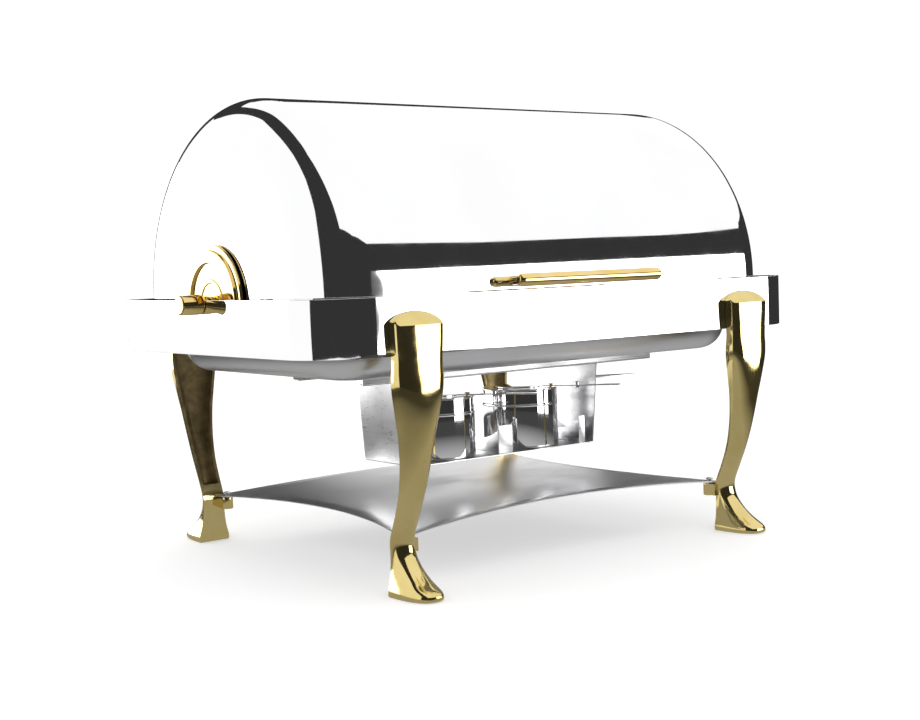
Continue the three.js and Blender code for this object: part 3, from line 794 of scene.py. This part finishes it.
def tray_dividers():
    """Saddle-backed webs with a flange at each end."""
    base = tray["bottom"] + tray["sheet"] + 0.3
    top = base + 31
    reach = tray["half_bottom"] - 1.5
    outline = [(-reach, base), (reach, base), (reach, top)]
    for i in range(25):
        along = 1 - i / 12
        outline.append((along * (reach - 6), top - 3 - 14 * (1 - along * along)))
    outline.append((-reach, top))
    for name, x, back, ahead in (("middle", 22, 10, 10), ("left", -92, 1, 8), ("right", 138, 8, 1)):
        web = plate(f"divider_{name}", outline, SHEET, lambda a, b, depth: (x + depth, a, b))
        flange = [(x - back, base), (x + ahead, base), (x + ahead, top), (x - back, top)]
        flange = eased(flange, 0.9, 3, closed=True)
        near = plate("flange", flange, SHEET, lambda a, b, depth: (a, -reach - depth, b))
        far = plate("flange", flange, SHEET, lambda a, b, depth: (a, reach + depth, b))
        settle(joined([web, near, far]), "burner_tray", "satin_steel", f"tray_divider_{name}")


# ---- burners ---------------------------------------------------------------------------------------------
def burner_cup(x):
    radius, base, rim, bead = CUP["radius"], CUP["base"], CUP["rim"], CUP["bead"]
    outside = eased([(0, base), (radius, base), (radius, bead - 2.4)], 2.4, 5)
    for i in range(9):
        angle = math.pi * i / 8
        outside.append((radius + math.sin(angle), bead - 1.6 * math.cos(angle)))
    inner = radius - 0.9
    floor_top = base + 0.9
    inside = [(radius, bead + 2.4), (radius, rim), (inner, rim), (inner, floor_top), (0, floor_top)]
    return turned("cup", outside + eased(inside, 0.4, 3), "z", (x, 0, 0), 96)


def fuel_can(x):
    low, high = CUP["base"] + 1.3, CUP["base"] + 58
    profile = [
        (0, low), (39.5, low), (39.5, high), (35.5, high), (35.5, high - 2), (22, high - 2),
        (22, high + 1), (20, high + 1), (20, high - 16), (0, high - 16),
    ]
    return turned("can", eased(profile, 0.9, 3), "z", (x, 0, 0), 80)


def burner_top(x):
    low = CUP["rim"] + 0.3
    profile = [(24, low), (44, low), (44, low + SHEET), (24, low + SHEET)]
    return turned("top", eased(profile, 0.4, 3, closed=True), "z", (x, 0, 0), 96)


def along_tail(x, reach):
    return x + reach * math.cos(REGULATOR_ANGLE), reach * math.sin(REGULATOR_ANGLE)


def regulator(x):
    """The swivelling lid over the flame: a disc with a long flat tail and a small grip."""
    low = CUP["rim"] + 0.6 + SHEET + 0.2
    disc = turned("disc", eased(rod_profile(27, low, low + SHEET), 0.4), "z", (x, 0, 0), 80)
    outline = eased([(12, -5.5), (115, -5.5), (115, 5.5), (12, 5.5)], 4.5, 6, closed=True)

    def place(a, b, depth):
        px, py = along_tail(x, a)
        sine, cosine = math.sin(REGULATOR_ANGLE), math.cos(REGULATOR_ANGLE)
        return px - b * sine, py + b * cosine, low + 0.05 + depth

    tail = plate("tail", outline, SHEET - 0.1, place)
    profile = [(0, low - 2.4), (2.6, low - 2.4), (2.6, low + 4), (1.4, low + 5), (0, low + 5)]
    px, py = along_tail(x, 66)
    return joined([disc, tail, turned("stud", eased(profile, 0.5), "z", (px, py, 0), 24)])


def regulator_rivet(x):
    low, high = CUP["rim"] - 1.4, CUP["rim"] + 3.6
    profile = [
        (0, low), (3.2, low), (3.2, low + 1.2), (1.8, low + 1.2), (1.8, high), (3.4, high),
        (2.6, high + 1.4), (0, high + 1.6),
    ]
    px, py = along_tail(x, 36)
    return turned("rivet", eased(profile, 0.5, 3), "z", (px, py, 0), 28)


def burners():
    for side, x in BURNERS.items():
        body = f"burner_{side}"
        settle(burner_cup(x), body, "polished_steel", f"burner_cup_{side}").name = f"cup_{side}"
        settle(fuel_can(x), body, "satin_steel", f"fuel_can_{side}", material=TIN).name = f"can_{side}"
        settle(burner_top(x), body, "polished_steel", f"burner_top_{side}").name = f"top_{side}"
        lid = settle(regulator(x), f"regulator_{side}", "polished_steel", f"regulator_cover_{side}")
        lid.name = f"regulator_{side}_piece"
        rivet = settle(regulator_rivet(x), body, "polished_brass", f"regulator_rivet_{side}")
        rivet.name = f"rivet_{side}"


# ---- studio ----------------------------------------------------------------------------------------------
# black flags round the dish: azimuth from the front towards the right, lowest and highest elevation
FLAGS = [
    (-208, 18, 33), (-202, 18, 35), (-192, 21, 35.5), (-180, 25, 37), (-174, 29, 43), (-168, 34.5, 50),
    (-158, 42, 58), (-146, 48, 62), (-135, 48.5, 64), (-126, 48.4, 65), (-103.5, 45.8, 65), (-97, 43, 64.7),
    (-90, 38.7, 63.5), (-85, 31, 62), (-83.5, 27, 61.5), (-83, -14, 61), (-73, -14, 59), (-54, -14, 50),
    (-43.6, -14, 39.7), (-39.5, -14, 30), (-9, -14, 29.2), (20, -14, 25.8), (36, -14, 21.3),
    (45, -14, 19.8), (49, -14, 18.7), (52, -14, 18.4), (57, -14, 19), (61, -14, 20), (80, -14, 17),
    (96, -14, 15), (102, -14, 19), (110, -14, 23), (120, -14, 25), (128, -14, 20), (134, -14, 12),
]
# an upright card and flag nearer to the dish, in metres: x, y, lowest and highest z along each
CARD_FRONT = [(0.40, -1.22, -0.05, 0.52), (1.22, -0.83, -0.05, 0.475)]
FLAG_REAR = [
    (-0.12, 1.15, 0.1, 0.75), (0.10, 1.09, 0.1, 1.25), (0.30, 1.03, 0.1, 1.2),
    (0.50, 0.96, 0.36, 0.97), (1.25, 0.70, 0.36, 0.66),
]
TABLE_REACH = 1.15  # radius of the glowing disc that paints the table's reflection in the metal
TABLE_FADE = (0.45, 0.75)  # distances from the middle between which the painted table reflection fades from bright to dark
# glow of the painted table reflection, close to the dish and far from it
TABLE_GLOW = (0.42, 0.05)
CARD_REAR = (175, 228, -8, 13)  # azimuths, lowest and highest elevation
STUDIO_RADIUS = 3.0
WORLD_GLOW = 1.06
FLOOR_GLOW = 0.36
FLAG_GLOW = 0.03
FRONT_GLOW = 4.5
REAR_GLOW = 3.5
PAPER_SHADE = 0.8


def studio_point(azimuth, elevation, radius=STUDIO_RADIUS):
    a, e = math.radians(azimuth), math.radians(elevation)
    x, y = math.sin(a) * math.cos(e), -math.cos(a) * math.cos(e)
    return Vector((x, y, math.sin(e))) * radius + Vector((0, 0, 0.3))


def studio_sheet(name, columns, radius, material):
    """A curved studio card from (azimuth, low, high) columns; it only shows in reflections."""
    points, faces = [], []
    steps = 10
    for azimuth, low, high in columns:
        for i in range(steps + 1):
            point = studio_point(azimuth, low + (high - low) * i / steps, radius)
            points.append(tuple(point / MM))
    for column in range(len(columns) - 1):
        for i in range(steps):
            a = column * (steps + 1) + i
            faces.append((a, a + 1, a + steps + 2, a + steps + 1))
    sheet = piece_from(name, points, faces)
    sheet.data.materials.append(material)
    only_reflected(sheet)


def only_reflected(thing):
    thing.visible_camera = False
    thing.visible_diffuse = False
    thing.visible_shadow = False


def card(name, span, radius, strength):
    start, end, low, high = span
    columns = [(start + (end - start) * i / 12, low, high) for i in range(13)]
    studio_sheet(name, columns, radius, stage_paper(name, PAPER_SHADE, strength))


def upright(name, columns, strength):
    """An upright card near the dish, from columns of x, y, low z and high z in metres."""
    points, faces = [], []
    for x, y, low, high in columns:
        points += [(x / MM, y / MM, low / MM), (x / MM, y / MM, high / MM)]
    for i in range(0, len(points) - 2, 2):
        faces.append((i, i + 2, i + 3, i + 1))
    sheet = piece_from(name, points, faces)
    sheet.data.materials.append(stage_paper(name, 0, strength))
    only_reflected(sheet)


def floor():
    """The pale floor, hidden from the metal, which sees the painted table reflection instead."""
    half = FLOOR_SIZE / 2 / MM
    points = [(-half, -half, 0), (half, -half, 0), (half, half, 0), (-half, half, 0)]
    sheet = piece_from("floor", points, [(0, 1, 2, 3)])
    sheet.data.materials.append(stage_paper("floor_paper", PAPER_SHADE, FLOOR_GLOW))
    sheet.visible_glossy = False


def painted_table_reflection():
    """Painted reflection of the table, seen only in the metal: a disc glowing bright close to the dish and
    dark further away.
    """
    rim = [(TABLE_REACH * math.cos(a) / MM, TABLE_REACH * math.sin(a) / MM, -0.4)
           for a in np.linspace(0, math.tau, 48, endpoint=False)]
    disc = piece_from("painted_table_reflection", rim, [tuple(range(48))])
    paper = stage_paper("table_reflection_glow", 0)
    tree = paper.node_tree
    place = tree.nodes.new("ShaderNodeTexCoord")
    reach = tree.nodes.new("ShaderNodeVectorMath")
    reach.operation = "LENGTH"
    # painted reflection: the disc's glow falls from bright to dark with distance from the middle
    fade = map_range(tree, (*TABLE_FADE, *TABLE_GLOW))
    tree.links.new(place.outputs["Object"], reach.inputs[0])
    tree.links.new(reach.outputs["Value"], fade.inputs["Value"])
    tree.links.new(fade.outputs["Result"], tree.nodes["Principled BSDF"].inputs["Emission Strength"])
    disc.data.materials.append(paper)
    only_reflected(disc)


def studio():
    world = bpy.data.worlds.new("studio")
    world.use_nodes = True
    sky = world.node_tree.nodes["Background"]
    sky.inputs["Color"].default_value = (1, 1, 1, 1)
    sky.inputs["Strength"].default_value = WORLD_GLOW
    scene.world = world
    floor()
    painted_table_reflection()
    studio_sheet("flags", FLAGS, STUDIO_RADIUS, stage_paper("flag_cloth", 0, FLAG_GLOW))
    upright("card_front", CARD_FRONT, FRONT_GLOW)
    upright("flag_rear", FLAG_REAR, FLAG_GLOW)
    card("card_rear", CARD_REAR, STUDIO_RADIUS + 0.05, REAR_GLOW)
    scene.view_settings.view_transform = "Standard"
    scene.view_settings.look = "None"


LENS = 56.37
CAMERA_AT = (-0.9629, -1.2648, 0.3056)
CAMERA_TURN = (0.6497, 0.0694, -0.0367)  # yaw to the right of straight ahead, pitch down, roll; radians


def camera():
    data = bpy.data.cameras.new("camera")
    data.lens = LENS
    view = bpy.data.objects.new("camera", data)
    scene.collection.objects.link(view)
    yaw, pitch, roll = CAMERA_TURN
    ahead = Vector((math.sin(yaw) * math.cos(pitch), math.cos(yaw) * math.cos(pitch), -math.sin(pitch)))
    level = Vector((math.cos(yaw), -math.sin(yaw), 0))
    rise = level.cross(ahead)
    right = level * math.cos(roll) + rise * math.sin(roll)
    up = rise * math.cos(roll) - level * math.sin(roll)
    matrix = Matrix((right, up, -ahead)).transposed().to_4x4()
    matrix.translation = Vector(CAMERA_AT)
    view.matrix_world = matrix
    scene.camera = view


camera()
gallery_band()
legs()
leg_screws()
lower_shelf()
cover_skin()
pivot_hubs()
spindles()
cover_handle()
water_pan()
food_pan()
tray_rails()
burner_tray()
tray_dividers()
burners()
studio()
